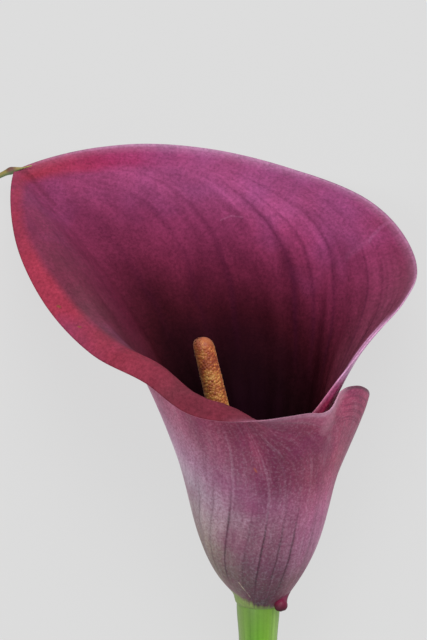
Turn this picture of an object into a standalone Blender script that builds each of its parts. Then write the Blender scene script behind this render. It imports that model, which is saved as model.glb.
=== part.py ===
"""A cut calla lily flower, lying on its back.

Three pieces: the stem, the spathe (one coloured sheet rolled once round itself into a funnel)
and the spadix (the club of small florets inside it).

The flower is drawn first in its own frame, in millimetres: X to its right, B out of its back,
H up its axis from the foot of the spathe. It is then laid down, with its head at +Y, its mouth
up at +Z and its back on the surface at z = 0. The origin is under the middle of its box.
"""
import math

import bpy
import numpy as np

MM = 0.001                       # metres in a millimetre

# How it lies
LEAN_BACK = math.radians(11.0)   # its axis dips this much towards the cut end of the stem
SURFACE = -30.0                  # height of the surface, from the foot of the spathe
PRESS = 1.2                      # how softly the limb is pressed flat where it meets it
CLEARANCE = 0.3                  # between touching pieces

# Spathe: one sheet, rolled
THICKNESS = 0.8
FOOT_RADIUS = 5.1                # middle of the sheet at its foot
TUBE_SWELL = 12.4                # the tube opens quickly to this much more
TUBE_SWELL_HEIGHT = 17.5
TUBE_FLARE = 7.9                 # and then flares, by this much at TUBE_FLARE_HEIGHT
TUBE_FLARE_HEIGHT = 50.0
TUBE_FLARE_POWER = 3.7
LAP_FOOT = 0.8                   # how far the inner layer of the lap lies inside the outer one
LAP_SWELL = 1.3
LAP_FLARE = 0.55
FOOT_DIP = 0.8                   # the waist just above the foot, at the left and behind
FOOT_DIP_HEIGHT = 3.0

OUTER_RIBS = 32                  # ribs from the outer edge to the tip
INNER_RIBS = 32                  # ribs from the tip to the inner edge
RIB_POINTS = 40                  # points up each rib
TUBE_SHARE = 0.38                # share of them below the rib's neck

# The rim as (degrees round the axis, radius, height). It starts at the outer edge on the
# right and runs round the front and the left to the tip, then round the back and the right,
# past where it started, to the inner edge.
OUTER_RIM = [
    (4, 23.2, 45.5), (9, 25.6, 51.2), (14, 27.0, 55.1), (22, 26.9, 57.4), (31, 26.3, 58.6),
    (38, 25.4, 58.5), (43, 25.2, 57.6), (46.5, 25.2, 55.5), (50, 25.2, 54.1), (54, 25.2, 53.6),
    (64, 25.5, 54.0), (76, 25.8, 53.7), (90, 26.5, 53.1), (120, 32.7, 54.6), (142, 35.2, 61.0),
    (163, 42.5, 65.9), (180, 52.2, 75.0), (194, 62.2, 87.0), (207, 71.2, 98.9), (214, 76.3, 103.2),
]
INNER_RIM = [
    (214, 76.3, 103.2), (219, 73.6, 105.1), (237, 63.4, 108.6), (256, 55.6, 107.4),
    (280, 52.6, 102.3), (304, 50.5, 95.7), (324, 46.3, 87.6), (340, 41.6, 81.0),
    (354, 35.3, 75.9), (376, 27.1, 68.4), (400, 23.8, 60.5), (418, 22.3, 53.0), (440, 19.6, 44.0),
]
# Each rib leaves the tube at its neck height and reaches the rim leaning out from the axis.
NECK = [(0, 30), (60, 33), (140, 36), (180, 41), (214, 46), (300, 46), (350, 40), (400, 34), (440, 28)]
LEAN = [(0, 4), (20, 16), (45, 8), (66, 14), (84, 40), (100, 120), (125, 152), (150, 145),
        (170, 125), (190, 110), (205, 85), (214, 60), (225, 65), (250, 70), (300, 68),
        (325, 57), (345, 50), (365, 46), (385, 33), (405, 10), (440, 2)]
ROLL = [(0, 4), (70, 5), (90, 7), (110, 13), (130, 14), (160, 15), (185, 15), (214, 10),
        (260, 18), (320, 16), (350, 13), (380, 8), (440, 4)]       # length of that last curl
LAP = [(0, 0), (145, -0.02), (180, -0.06), (215, 0), (250, 0), (270, 0), (300, 0.35), (335, 1.15),
       (360, 1.45), (375, 1.5), (400, 1.35), (440, 1.25)]
DIP = [(0, 0), (60, 0.2), (115, 0.75), (150, 1), (250, 1), (320, 0.5), (440, 0.1)]

# The tip's dried tail, and the lug at the foot of the outer edge
TAIL_LENGTH = 15.0
TAIL_SHAPE = [(0, 0.30), (0.2, 0.38), (0.28, 0.75), (0.34, 1.0), (0.42, 0.8), (0.7, 0.62), (1, 0.2)]
LUG_RADIUS = 1.7

# Spadix
PEG_RADIUS = 3.2
PEG_HEIGHT = 4.0
SPADIX_TOP = 67.7
SPADIX_RADIUS = 2.7
SPADIX_LEAN = 0.234
SPADIX_BEND = 1.6
SPADIX_SIDES = 24                # two to a floret
FLORET_PITCH = 1.35              # rows of florets, along the spadix
FLORET_RELIEF = 0.16

# Stem
STEM_LENGTH = 108.0
STEM_REST = 14.0                 # length at its cut end that lies on the surface
STEM_RADIUS = 4.8
STEM_TOP_RADIUS = 5.5
STEM_ASIDE = 0.45                # the stem's middle is this much left of the peg's
STEM_SIDES = 24

BURGUNDY = (0.230, 0.028, 0.085, 1)
GREEN = (0.200, 0.380, 0.085, 1)
ORANGE = (0.560, 0.220, 0.060, 1)


def clear_scene():
    for thing in list(bpy.data.objects):
        bpy.data.objects.remove(thing, do_unlink=True)


def principled(name, colour, roughness):
    material = bpy.data.materials.new(name)
    material.use_nodes = True
    shader = material.node_tree.nodes["Principled BSDF"]
    shader.inputs["Base Color"].default_value = colour
    shader.inputs["Roughness"].default_value = roughness
    shader.inputs["Metallic"].default_value = 0.0
    return material


def smooth(rows, at):
    """Read rows of (place, value, ...) along a smooth curve through them."""
    rows = np.asarray(rows, float)
    knots = rows[:, 0]
    slopes = np.gradient(rows, knots, axis=0)
    i = np.clip(np.searchsorted(knots, at, side="right") - 1, 0, len(knots) - 2)
    width = (knots[i + 1] - knots[i])[:, None]
    t = (at - knots[i])[:, None] / width
    near = (2 * t**3 - 3 * t**2 + 1) * rows[i] + (t**3 - 2 * t**2 + t) * width * slopes[i]
    far = (3 * t**2 - 2 * t**3) * rows[i + 1] + (t**3 - t**2) * width * slopes[i + 1]
    return (near + far)[:, 1:]


def ease(t):
    t = np.clip(t, 0, 1)
    return t * t * (3 - 2 * t)


def round_axis(degrees, radius, height):
    """Flower-frame points from degrees clockwise round the axis, seen from above."""
    angle = -np.radians(degrees)
    return np.stack([radius * np.cos(angle), radius * np.sin(angle), height + 0 * angle], axis=-1)


def lay_down(points):
    """Turn flower-frame points to the way the flower lies, with the surface at 0."""
    x, b, h = points[..., 0], points[..., 1], points[..., 2]
    across = h * math.cos(LEAN_BACK) + b * math.sin(LEAN_BACK)
    up = h * math.sin(LEAN_BACK) - b * math.cos(LEAN_BACK)
    return np.stack([x, across, up - SURFACE], axis=-1)


def evenly_along(rim, count):
    """Stations spaced evenly along the rim's length."""
    rim = np.asarray(rim, float)
    points = round_axis(rim[:, 0], rim[:, 1], rim[:, 2])
    gone = np.concatenate([[0], np.cumsum(np.linalg.norm(np.diff(points, axis=0), axis=1))])
    return smooth(np.column_stack([gone, rim]), np.linspace(0, gone[-1], count))


def tube_radius(height, lap, dip):
    swell = (TUBE_SWELL - LAP_SWELL * lap) * np.tanh(height / TUBE_SWELL_HEIGHT)
    flare = TUBE_FLARE * (1 - LAP_FLARE * lap) * (height / TUBE_FLARE_HEIGHT)**TUBE_FLARE_POWER
    waist = FOOT_DIP * dip * height / FOOT_DIP_HEIGHT * np.exp(1 - height / FOOT_DIP_HEIGHT)
    return FOOT_RADIUS - LAP_FOOT * lap + swell + flare - waist


def rib(radius, height, neck, lean, roll, lap, dip):
    """Radius and height up one rib: the tube, then one smooth sweep out to the rim."""
    tube_points = int(RIB_POINTS * TUBE_SHARE)
    up = neck * np.linspace(0, 1, tube_points)
    tube = np.column_stack([tube_radius(up, lap, dip), up])
    start = tube[-1]
    way = np.array([tube_radius(neck, lap, dip) - tube_radius(neck - 1, lap, dip), 1.0])
    way /= np.linalg.norm(way)
    end = np.array([radius, height])
    reach = 0.4 * np.linalg.norm(end - start)
    curl = roll * np.array([math.sin(lean), math.cos(lean)])
    t = np.linspace(0, 1, RIB_POINTS - tube_points + 1)[1:, None]
    sweep = ((1 - t)**3 * start + 3 * (1 - t)**2 * t * (start + way * reach)
             + 3 * (1 - t) * t**2 * (end - curl) + t**3 * end)
    return np.vstack([tube, sweep])


def spathe_sheet():
    """The middle of the sheet as a grid of points, lying down and pressed on the surface."""
    rim = np.vstack([evenly_along(OUTER_RIM, OUTER_RIBS), evenly_along(INNER_RIM, INNER_RIBS)[1:]])
    degrees = rim[:, 0]
    neck, lean, roll, lap, dip = [smooth(rows, degrees)[:, 0]
                                  for rows in (NECK, LEAN, ROLL, LAP, DIP)]
    ribs = [rib(rim[i, 1], rim[i, 2], neck[i], math.radians(lean[i]), roll[i], lap[i], dip[i])
            for i in range(len(rim))]
    grid = lay_down(np.array([round_axis(degrees[i], up[:, 0], up[:, 1])
                              for i, up in enumerate(ribs)]))
    above = grid[..., 2] - THICKNESS / 2
    pressed = np.where(above < -PRESS, 0, np.where(above > PRESS, above, (above + PRESS)**2 / (4 * PRESS)))
    grid[..., 2] = pressed + THICKNESS / 2
    return grid


def sheet_normals(grid):
    """Normals of the grid, pointing out of the funnel."""
    round_it = np.gradient(grid, axis=0)
    up_it = np.gradient(grid, axis=1)
    normals = np.cross(up_it, round_it)
    return normals / np.linalg.norm(normals, axis=2, keepdims=True)


def make_object(name, points, faces, material):
    """A mesh object from points in millimetres."""
    mesh = bpy.data.meshes.new(name)
    mesh.from_pydata([tuple(p) for p in np.asarray(points) * MM], [], faces)
    mesh.validate()
    mesh.materials.append(material)
    made = bpy.data.objects.new(name, mesh)
    bpy.context.collection.objects.link(made)
    return made


def thick_sheet(name, grid, thickness, material):
    """A closed solid round the sheet, with triangles alike on both faces.

    Where the sheet lies on the surface, its outer face is exactly flat.
    """
    normals = sheet_normals(grid) * thickness / 2
    ribs, rows = grid.shape[:2]
    outside = (grid + normals).reshape(-1, 3)
    inside = (grid - normals).reshape(-1, 3)
    lying = grid[..., 2].reshape(-1) < thickness / 2 + 0.01
    outside[lying, 2] = 0
    inside[lying, 2] = thickness
    points = np.vstack([outside, inside])
    half = ribs * rows

    def at(i, j):
        return i * rows + j

    faces = []
    for i in range(ribs - 1):
        for j in range(rows - 1):
            a, b, c, d = at(i, j), at(i + 1, j), at(i + 1, j + 1), at(i, j + 1)
            faces += [(a, c, b), (a, d, c)]
            faces += [(a + half, b + half, c + half), (a + half, c + half, d + half)]
    border = ([at(i, 0) for i in range(ribs)] + [at(ribs - 1, j) for j in range(1, rows)]
              + [at(i, rows - 1) for i in range(ribs - 2, -1, -1)]
              + [at(0, j) for j in range(rows - 2, 0, -1)])
    for k, a in enumerate(border):
        b = border[(k + 1) % len(border)]
        faces += [(a, b, b + half), (a, b + half, a + half)]
    return make_object(name, points, faces, material)


def turned(name, path, radii, sides, material, relief=None):
    """A round solid along a path, with flat ends. relief adds to the radius at (ring, side)."""
    path = np.asarray(path, float)
    tangents = np.gradient(path, axis=0)
    tangents /= np.linalg.norm(tangents, axis=1)[:, None]
    across = np.cross(tangents, (0.0, 0.0, 1.0))
    across /= np.linalg.norm(across, axis=1)[:, None]
    over = np.cross(across, tangents)
    angles = 2 * math.pi * (np.arange(sides) + 0.5) / sides
    points = []
    for ring in range(len(path)):
        for side, angle in enumerate(angles):
            radius = radii[ring] + (relief[ring][side] if relief is not None else 0.0)
            points.append(path[ring] + radius * (math.cos(angle) * across[ring]
                                                 + math.sin(angle) * over[ring]))
    faces = [tuple(range(sides))]
    for ring in range(len(path) - 1):
        for side in range(sides):
            a, b = ring * sides + side, ring * sides + (side + 1) % sides
            faces.append((a, a + sides, b + sides, b))
    last = (len(path) - 1) * sides
    faces.append(tuple(last + side for side in reversed(range(sides))))
    return make_object(name, points, faces, material)


def fuse(body, extras):
    """Grow the extras into the body, as one solid."""
    for extra in extras:
        union = body.modifiers.new(extra.name, "BOOLEAN")
        union.operation = "UNION"
        union.solver = "EXACT"
        union.object = extra
    grown = bpy.data.meshes.new_from_object(body.evaluated_get(bpy.context.evaluated_depsgraph_get()))
    body.modifiers.clear()
    body.data = grown
    for extra in extras:
        bpy.data.objects.remove(extra, do_unlink=True)


def make_tail(tip, material):
    """The tip's thin tail: it grows from the back edge just short of the tip and droops left."""
    way = np.array([-0.89, -0.40, -0.20])
    root = tip + np.array([4.6, 1.3, -0.1])
    t = np.linspace(0, 1, 13)[:, None]
    bend = root + (tip - root) * (t / 0.3)
    free = tip + np.array([-0.3, 0.3, 0]) + way * TAIL_LENGTH * (t - 0.3) - np.array([0, 0, 1.0]) * 2.5 * (t - 0.3)**2
    path = bend + (free - bend) * ease((t - 0.1) / 0.4)
    radii = smooth(TAIL_SHAPE, t[:, 0])[:, 0]     # thin along the edge, thick at the knot, and out to a point
    return turned("tail", path, radii, 8, material)


def make_lug(material):
    """The small knob that ends the outer edge at its foot, curled round to the front."""
    route = np.array([(0, 8, 8.6, 6.4, 0.4), (1, 17, 8.0, 4.7, 0.7), (2, 29, 7.3, 3.1, 1.1),
                      (3, 39, 7.1, 1.9, 1.5), (4, 46, 7.25, 1.0, LUG_RADIUS), (5, 49.5, 7.3, 0.2, 1.3),
                      (6, 50.5, 7.3, -0.3, 0.6)])
    at = smooth(route, np.linspace(0, 6, 19))
    path = lay_down(round_axis(at[:, 0], at[:, 1], at[:, 2]))
    return turned("lug", path, at[:, 3], 12, material)


def make_spathe():
    material = principled("spathe_skin", BURGUNDY, 0.5)
    grid = spathe_sheet()
    spathe = thick_sheet("spathe", grid, THICKNESS, material)
    tip = grid[OUTER_RIBS - 1, -1]
    fuse(spathe, [make_tail(tip, material), make_lug(material)])
    return spathe


def spadix_centre(height):
    """It starts along the axis and soon leans to the left."""
    gone = np.maximum(height - PEG_HEIGHT, 0)
    lean = -SPADIX_LEAN * (gone - SPADIX_BEND * (1 - np.exp(-gone / SPADIX_BEND)))
    return np.stack([lean, 0 * height, height], axis=-1)


def make_spadix():
    material = principled("spadix_florets", ORANGE, 0.7)
    foot = PEG_HEIGHT + CLEARANCE
    rows = int((SPADIX_TOP - foot) / (FLORET_PITCH / 2))
    height = np.linspace(foot, SPADIX_TOP, rows)
    dome = np.sqrt(np.clip(1 - np.clip((height - SPADIX_TOP + SPADIX_RADIUS) / SPADIX_RADIUS, 0, 0.96)**2,
                           0, 1))
    radii = SPADIX_RADIUS * dome * (0.93 + 0.07 * ease((height - foot) / 6))
    ring, side = np.meshgrid(np.arange(rows), np.arange(SPADIX_SIDES), indexing="ij")
    relief = FLORET_RELIEF * np.where((ring + side) % 2 == 0, 1.0, -0.6) * dome[:, None]
    relief[[0, -1]] = 0
    return turned("spadix", lay_down(spadix_centre(height)), radii, SPADIX_SIDES, material, relief)


def make_stem():
    """The stem and the peg on top of it, as one solid. The stem sinks to lie on the surface."""
    material = principled("stem_skin", GREEN, 0.45)
    down = np.concatenate([[0, 1.5, 4, 8], np.linspace(13, STEM_LENGTH, 22)])
    radii = STEM_RADIUS + (STEM_TOP_RADIUS - STEM_RADIUS) * (1 - ease(down / 10))
    radii = radii + 0.5 * ease(down / STEM_LENGTH)
    path = lay_down(round_axis(0 * down, 0 * down, -CLEARANCE - down))
    path[:, 0] -= STEM_ASIDE
    resting = radii[-1] * math.cos(math.pi / STEM_SIDES)
    reach = STEM_LENGTH - STEM_REST
    t = np.clip(down / reach, 0, 1)
    sinking = (t**3 - 2 * t**2 + t) * -reach * math.sin(LEAN_BACK)
    path[:, 2] = path[0, 2] + (resting - path[0, 2]) * ease(t) + sinking
    stem = turned("stem", path, radii, STEM_SIDES, material)
    peg_heights = np.array([-3.0, PEG_HEIGHT / 2, PEG_HEIGHT])
    peg = turned("peg", lay_down(round_axis(0 * peg_heights, 0 * peg_heights, peg_heights)),
                 np.full(3, PEG_RADIUS), STEM_SIDES, material)
    fuse(stem, [peg])
    return stem


def centre_on_box(pieces):
    """Put the origin under the middle of the whole flower's box."""
    corners = np.vstack([np.array([v.co for v in piece.data.vertices]) for piece in pieces])
    low, high = corners.min(axis=0), corners.max(axis=0)
    shift = np.array([-(low[0] + high[0]) / 2, -(low[1] + high[1]) / 2, -low[2]])
    for piece in pieces:
        for vertex in piece.data.vertices:
            vertex.co = vertex.co + type(vertex.co)(shift)
    return low, high, shift


def main():
    clear_scene()
    pieces = [make_stem(), make_spathe(), make_spadix()]
    for piece in pieces:
        piece.data.shade_smooth()
        piece.data.set_sharp_from_angle(angle=math.radians(50))
    low, high, shift = centre_on_box(pieces)
    print("size mm", (high - low) / MM, "shift mm", shift / MM)
    for piece in pieces:
        print(piece.name, len(piece.data.loop_triangles) or sum(len(p.vertices) - 2 for p in piece.data.polygons))


main()
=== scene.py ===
# %% [markdown]
# # A cut calla lily, lying on its back
#
# The bloom is not a ring of petals. It is one coloured leaf, the spathe, rolled once round a club
# of tiny florets, the spadix. We load the solids that MuJoCo uses as a fixed frame and dress them:
# the sheet with its veins and its thin edge, the florets one by one, and the stem.

# %% Load the frame
import math

import bpy
import numpy as np
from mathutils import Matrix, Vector


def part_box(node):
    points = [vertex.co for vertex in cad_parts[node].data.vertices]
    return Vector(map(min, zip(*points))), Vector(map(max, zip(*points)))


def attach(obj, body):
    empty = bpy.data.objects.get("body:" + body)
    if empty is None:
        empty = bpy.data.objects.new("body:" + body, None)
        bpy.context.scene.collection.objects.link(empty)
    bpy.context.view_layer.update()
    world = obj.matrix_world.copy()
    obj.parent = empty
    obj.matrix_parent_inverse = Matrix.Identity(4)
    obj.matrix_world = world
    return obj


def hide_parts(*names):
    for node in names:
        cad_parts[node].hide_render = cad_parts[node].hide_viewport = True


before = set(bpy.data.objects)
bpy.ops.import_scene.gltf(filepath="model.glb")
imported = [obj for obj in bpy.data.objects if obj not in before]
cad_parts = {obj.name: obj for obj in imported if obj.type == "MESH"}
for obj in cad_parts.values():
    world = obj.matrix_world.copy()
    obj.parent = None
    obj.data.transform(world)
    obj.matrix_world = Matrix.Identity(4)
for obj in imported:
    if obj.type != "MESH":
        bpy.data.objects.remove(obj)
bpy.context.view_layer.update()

MM = 0.001

# %% [markdown]
# ## One frame for the flower
#
# A flower is easiest to draw upright: X to its right, B out of its back, H up its axis, with the
# foot of the spathe at the origin, in millimetres. The real one lies down, its axis dipping a
# little towards the cut end. The place of the foot is read from the solids: the stem's box gives
# its middle in X, and the top of the peg inside the bloom gives the rest.

# %% From the upright flower to the way it lies
LEAN_BACK = math.radians(11.0)
FOOT_HEIGHT = 30.0               # the foot of the spathe above the surface
PEG_RADIUS, PEG_HEIGHT = 3.2, 4.0
STEM_ASIDE = 0.45                # the stem's middle is this much left of the peg's

stem_low, stem_high = [np.array(corner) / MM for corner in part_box("stem")]
peg_reach = PEG_HEIGHT * math.cos(LEAN_BACK) + PEG_RADIUS * math.sin(LEAN_BACK)
FOOT = np.array([(stem_low[0] + stem_high[0]) / 2 + STEM_ASIDE, stem_high[1] - peg_reach, FOOT_HEIGHT])
print("foot of the spathe at", FOOT.round(2), "mm")


def lay_down(points):
    """Turn upright-flower points in millimetres to where they lie."""
    x, b, h = points[..., 0], points[..., 1], points[..., 2]
    across = h * math.cos(LEAN_BACK) + b * math.sin(LEAN_BACK)
    up = h * math.sin(LEAN_BACK) - b * math.cos(LEAN_BACK)
    return np.stack([x, across, up], axis=-1) + FOOT


def round_axis(degrees, radius, height):
    """Upright-flower points from degrees clockwise round the axis, seen from above."""
    angle = -np.radians(degrees)
    return np.stack([radius * np.cos(angle), radius * np.sin(angle), height + 0 * angle], axis=-1)


# %% [markdown]
# ## Two ways to be smooth
#
# Nothing in a flower changes abruptly. `fade` goes softly from 0 to 1 between two places, and
# `smooth` draws one curve through a short list of places, which is how all the outlines are given.

# %% Soft steps and smooth curves
def fade(value, start, end):
    """0 at the start, 1 at the end, and soft in between."""
    t = np.clip((value - start) / (end - start), 0, 1)
    return t * t * (3 - 2 * t)


def smooth(rows, at):
    """Read rows of (place, value, ...) along a smooth curve through them."""
    rows = np.asarray(rows, float)
    knots = rows[:, 0]
    slopes = np.gradient(rows, knots, axis=0)
    i = np.clip(np.searchsorted(knots, at, side="right") - 1, 0, len(knots) - 2)
    width = (knots[i + 1] - knots[i])[:, None]
    t = (at - knots[i])[:, None] / width
    near = (2 * t**3 - 3 * t**2 + 1) * rows[i] + (t**3 - 2 * t**2 + t) * width * slopes[i]
    far = (3 * t**2 - 2 * t**3) * rows[i + 1] + (t**3 - t**2) * width * slopes[i + 1]
    return (near + far)[:, 1:]


print("a fade from 0 to 10, at 2.5 and 5:", fade(np.array([2.5, 5.0]), 0, 10))

# %% [markdown]
# ## Meshes that know where they are
#
# A petal's colour follows its anatomy: how far up the sheet, how near the rim, along which vein.
# UV islands could carry that, but plain named numbers on the points are clearer, so each mesh
# takes a few of them and its materials read them with an Attribute node.

# %% A mesh with named numbers on its points
def make_piece(name, points, faces, numbers, materials, face_material=None):
    """A smooth piece from points in millimetres, with named numbers on them."""
    mesh = bpy.data.meshes.new(name)
    mesh.from_pydata((np.asarray(points) * MM).tolist(), [], faces)
    for label, values in numbers.items():
        layer = mesh.attributes.new(label, "FLOAT", "POINT")
        layer.data.foreach_set("value", np.asarray(values, np.float32).ravel())
    for material in materials:
        mesh.materials.append(material)
    if face_material is not None:
        mesh.polygons.foreach_set("material_index", np.asarray(face_material, np.int32))
    mesh.update()
    mesh.shade_smooth()
    piece = bpy.data.objects.new(name, mesh)
    bpy.context.scene.collection.objects.link(piece)
    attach(piece, "root")
    print(name, len(points), "points", len(faces), "faces")
    return piece


# %% [markdown]
# ## Tubes
#
# The tail, the knob, the stem and the core of the spadix are all rings of points strung on a path.
# A curve with a bevel would give the same shape, but its points couldn't carry the numbers.

# %% Rings round a path
def tube_points(path, radii, sides):
    """A ring of points round each place on a path, as a grid of rings and sides."""
    tangents = np.gradient(path, axis=0)
    tangents /= np.linalg.norm(tangents, axis=1)[:, None]
    across = np.cross(tangents, (0.0, 0.0, 1.0))
    across /= np.linalg.norm(across, axis=1)[:, None]
    over = np.cross(across, tangents)
    angle = 2 * math.pi * (np.arange(sides)[:, None] + 0.5) / sides
    spokes = np.cos(angle) * across[:, None] + np.sin(angle) * over[:, None]
    return path[:, None] + radii[:, None, None] * spokes


def tube_faces(rings, sides, first_point=0):
    """Quads between the rings and one flat face at each end."""
    ring = np.arange(rings * sides).reshape(rings, sides) + first_point
    after = np.roll(ring, -1, axis=1)
    quads = np.stack([ring[:-1], ring[1:], after[1:], after[:-1]], axis=-1)
    return quads.reshape(-1, 4).tolist() + [ring[0].tolist(), ring[-1, ::-1].tolist()]


def make_tube(name, points, numbers, materials):
    """A piece from a grid of points, with numbers that run along it or round it."""
    grid = points.shape[:2]
    numbers = {label: np.broadcast_to(values, grid) for label, values in numbers.items()}
    return make_piece(name, points.reshape(-1, 3), tube_faces(*grid), numbers, materials)


print("a tube of 3 rings of 8 has", len(tube_faces(3, 8)), "faces")

# %% [markdown]
# ## Adding nodes
#
# Every material below is a small graph. One helper adds a node: its kind, its settings, and what
# goes into each socket, which is either a number or another node's output. The last step of each
# material fills the shader's own sockets in the same way.

# %% Colours and nodes
def linear(hex_colour):
    """An sRGB hex colour as linear RGBA."""
    parts = [int(hex_colour[i:i + 2], 16) / 255 for i in (1, 3, 5)]
    return tuple(c / 12.92 if c <= 0.04045 else ((c + 0.055) / 1.055)**2.4 for c in parts) + (1.0,)


def fill(tree, node, sockets):
    """Link or set a node's inputs: the first ones from a list, or any by name or number."""
    for name, value in sockets.items() if isinstance(sockets, dict) else enumerate(sockets):
        if isinstance(value, bpy.types.NodeSocket):
            tree.links.new(value, node.inputs[name])
        else:
            node.inputs[name].default_value = value


def add(tree, kind, sockets=(), out=0, stops=(), **settings):
    """Add a node with its inputs and settings, and give back one of its outputs.

    stops are the (place, hex colour or grey level) pairs of a ramp.
    """
    node = tree.nodes.new("ShaderNode" + kind)
    for name, value in settings.items():
        setattr(node, name, value)
    fill(tree, node, sockets)
    for i, (place, colour) in enumerate(stops):
        element = node.color_ramp.elements[i] if i < 2 else node.color_ramp.elements.new(place)
        element.position = place
        element.color = linear(colour) if isinstance(colour, str) else (colour, colour, colour, 1)
    return node.outputs[out]


def new_material(name, *labels):
    """A material, its tree, and an output for each of the mesh's named numbers that it reads."""
    material = bpy.data.materials.new(name)
    material.use_nodes = True
    tree = material.node_tree
    return material, tree, *[add(tree, "Attribute", out=2, attribute_name=label) for label in labels]


def complete(material, sockets):
    """Fill the shader's own sockets and say how large the graph is."""
    tree = material.node_tree
    fill(tree, tree.nodes["Principled BSDF"], sockets)
    print(material.name, "takes", len(tree.nodes), "nodes")
    return material


print("sRGB #808080 is", round(linear("#808080")[0], 3), "in linear light")

# %% [markdown]
# ## The rolled sheet
#
# The spathe is drawn as ribs. Each rib starts at the foot, follows the tube up to its neck, and
# sweeps out to the rim in one curve that ends leaning a given way, so the front edge can roll
# outwards while the back stands open. The rim is a short list of places round the axis, at more
# than a full turn: it starts at the outer edge, goes round the front and the left to the tip, and
# returns behind, past where it started, to the inner edge. The list and the sizes are the same as
# the solid's. This sheet is cut finer, and only its foot is drawn a little fuller.

# %% Sizes of the spathe
THICKNESS, RIM_THICKNESS = 0.8, 0.34                  # of the sheet, in its middle and at its edge
FOOT_RADIUS = 5.1
TUBE_SWELL, TUBE_SWELL_HEIGHT = 12.4, 17.5
TUBE_FLARE, TUBE_FLARE_HEIGHT, TUBE_FLARE_POWER = 7.9, 50.0, 3.7
LAP_FOOT, LAP_SWELL, LAP_FLARE = 0.8, 1.3, 0.55
FOOT_DIP, FOOT_DIP_HEIGHT, FOOT_DIP_POWER = 0.8, 3.3, 4
FOOT_ASIDE, FOOT_ASIDE_HEIGHT = 0.2, 4.0              # the very foot sits a little to the left
PRESS = 1.2                      # how softly the back is pressed flat on the surface

OUTER_RIBS, INNER_RIBS, RIB_POINTS = 150, 190, 130
TUBE_SHARE = 0.38                # of a rib's points
SWEEP_REACH = 0.4                # how long the sweep keeps the tube's direction, of its own length
OUTER_EDGE, TIP, INNER_EDGE = 4.0, 214.0, 440.0      # degrees round the axis

# the rim: (degrees round the axis, radius, height)
OUTER_RIM = [
    (4, 23.2, 45.5), (9, 25.6, 51.2), (14, 27.0, 55.1), (22, 26.9, 57.4), (31, 26.3, 58.6),
    (38, 25.4, 58.5), (43, 25.2, 57.6), (46.5, 25.2, 55.5), (50, 25.2, 54.1), (54, 25.2, 53.6),
    (64, 25.5, 54.0), (76, 25.8, 53.7), (90, 26.5, 53.1), (120, 32.7, 54.6), (142, 35.2, 61.0),
    (163, 42.5, 65.9), (180, 52.2, 75.0), (194, 62.2, 87.0), (207, 71.2, 98.9), (214, 76.3, 103.2),
]
INNER_RIM = [
    (214, 76.3, 103.2), (219, 73.6, 105.1), (237, 63.4, 108.6), (256, 55.6, 107.4),
    (280, 52.6, 102.3), (304, 50.5, 95.7), (324, 46.3, 87.6), (340, 41.6, 81.0),
    (354, 35.3, 75.9), (376, 27.1, 68.4), (400, 23.8, 60.5), (418, 22.3, 53.0), (440, 19.6, 44.0),
]

# each rib, by degrees: the height of its neck, how far it leans at the rim and how wide it rolls
NECK = [(0, 30), (60, 33), (140, 36), (180, 41), (214, 46), (300, 46), (350, 40), (400, 34), (440, 28)]
LEAN = [(0, 4), (20, 16), (45, 8), (66, 14), (84, 40), (100, 120), (125, 152), (150, 145),
        (170, 125), (190, 110), (205, 85), (214, 60), (225, 65), (250, 70), (300, 68),
        (325, 57), (345, 50), (365, 46), (385, 33), (405, 10), (440, 2)]
ROLL = [(0, 4), (70, 5), (90, 7), (110, 13), (130, 14), (160, 15), (185, 15), (214, 10),
        (260, 18), (320, 16), (350, 13), (380, 8), (440, 4)]

# how far it lies inside the outer lap, and how much its foot is drawn in
LAP = [(0, 0), (145, -0.02), (180, -0.06), (215, 0), (250, 0), (270, 0), (300, 0.35), (335, 1.15),
       (360, 1.45), (375, 1.5), (400, 1.35), (440, 1.25)]
DIP = [(0, 0), (60, 0.2), (115, 0.75), (150, 1), (250, 1), (320, 0.5), (440, 0.1)]
print("rim of", len(OUTER_RIM) + len(INNER_RIM) - 1, "places over", INNER_EDGE - OUTER_EDGE, "degrees")

# %% [markdown]
# ## The sheet's middle, rib by rib
#
# The ribs are spaced evenly along the rim, so that the quads stay even where the rim runs far out.
# A subdivided cage could bend the same way, but ribs give every point a known height and azimuth.
# At the back the weight of the bloom presses it flat where it lies.

# %% Draw the ribs
def evenly_along(rim, count):
    """Stations spaced evenly along the rim's length."""
    rim = np.asarray(rim, float)
    points = round_axis(rim[:, 0], rim[:, 1], rim[:, 2])
    gone = np.concatenate([[0], np.cumsum(np.linalg.norm(np.diff(points, axis=0), axis=1))])
    return smooth(np.column_stack([gone, rim]), np.linspace(0, gone[-1], count))


def tube_radius(height, lap, dip):
    swell = (TUBE_SWELL - LAP_SWELL * lap) * np.tanh(height / TUBE_SWELL_HEIGHT)
    flare = TUBE_FLARE * (1 - LAP_FLARE * lap) * (height / TUBE_FLARE_HEIGHT)**TUBE_FLARE_POWER
    up = height / FOOT_DIP_HEIGHT
    waist = FOOT_DIP * dip * up**FOOT_DIP_POWER * np.exp(FOOT_DIP_POWER * (1 - up))
    return FOOT_RADIUS - LAP_FOOT * lap + swell + flare - waist


def rib(radius, height, neck, lean, roll, lap, dip):
    """Radius and height up one rib: the tube, then one smooth sweep out to the rim."""
    low_points = int(RIB_POINTS * TUBE_SHARE)
    up = neck * np.linspace(0, 1, low_points)
    tube = np.column_stack([tube_radius(up, lap, dip), up])
    start = tube[-1]
    way = np.array([tube_radius(neck, lap, dip) - tube_radius(neck - 1, lap, dip), 1.0])
    way /= np.linalg.norm(way)
    end = np.array([radius, height])
    reach = SWEEP_REACH * np.linalg.norm(end - start)
    curl = roll * np.array([math.sin(lean), math.cos(lean)])
    t = np.linspace(0, 1, RIB_POINTS - low_points + 1)[1:, None]
    sweep = ((1 - t)**3 * start + 3 * (1 - t)**2 * t * (start + way * reach)
             + 3 * (1 - t) * t**2 * (end - curl) + t**3 * end)
    return np.vstack([tube, sweep])


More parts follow.
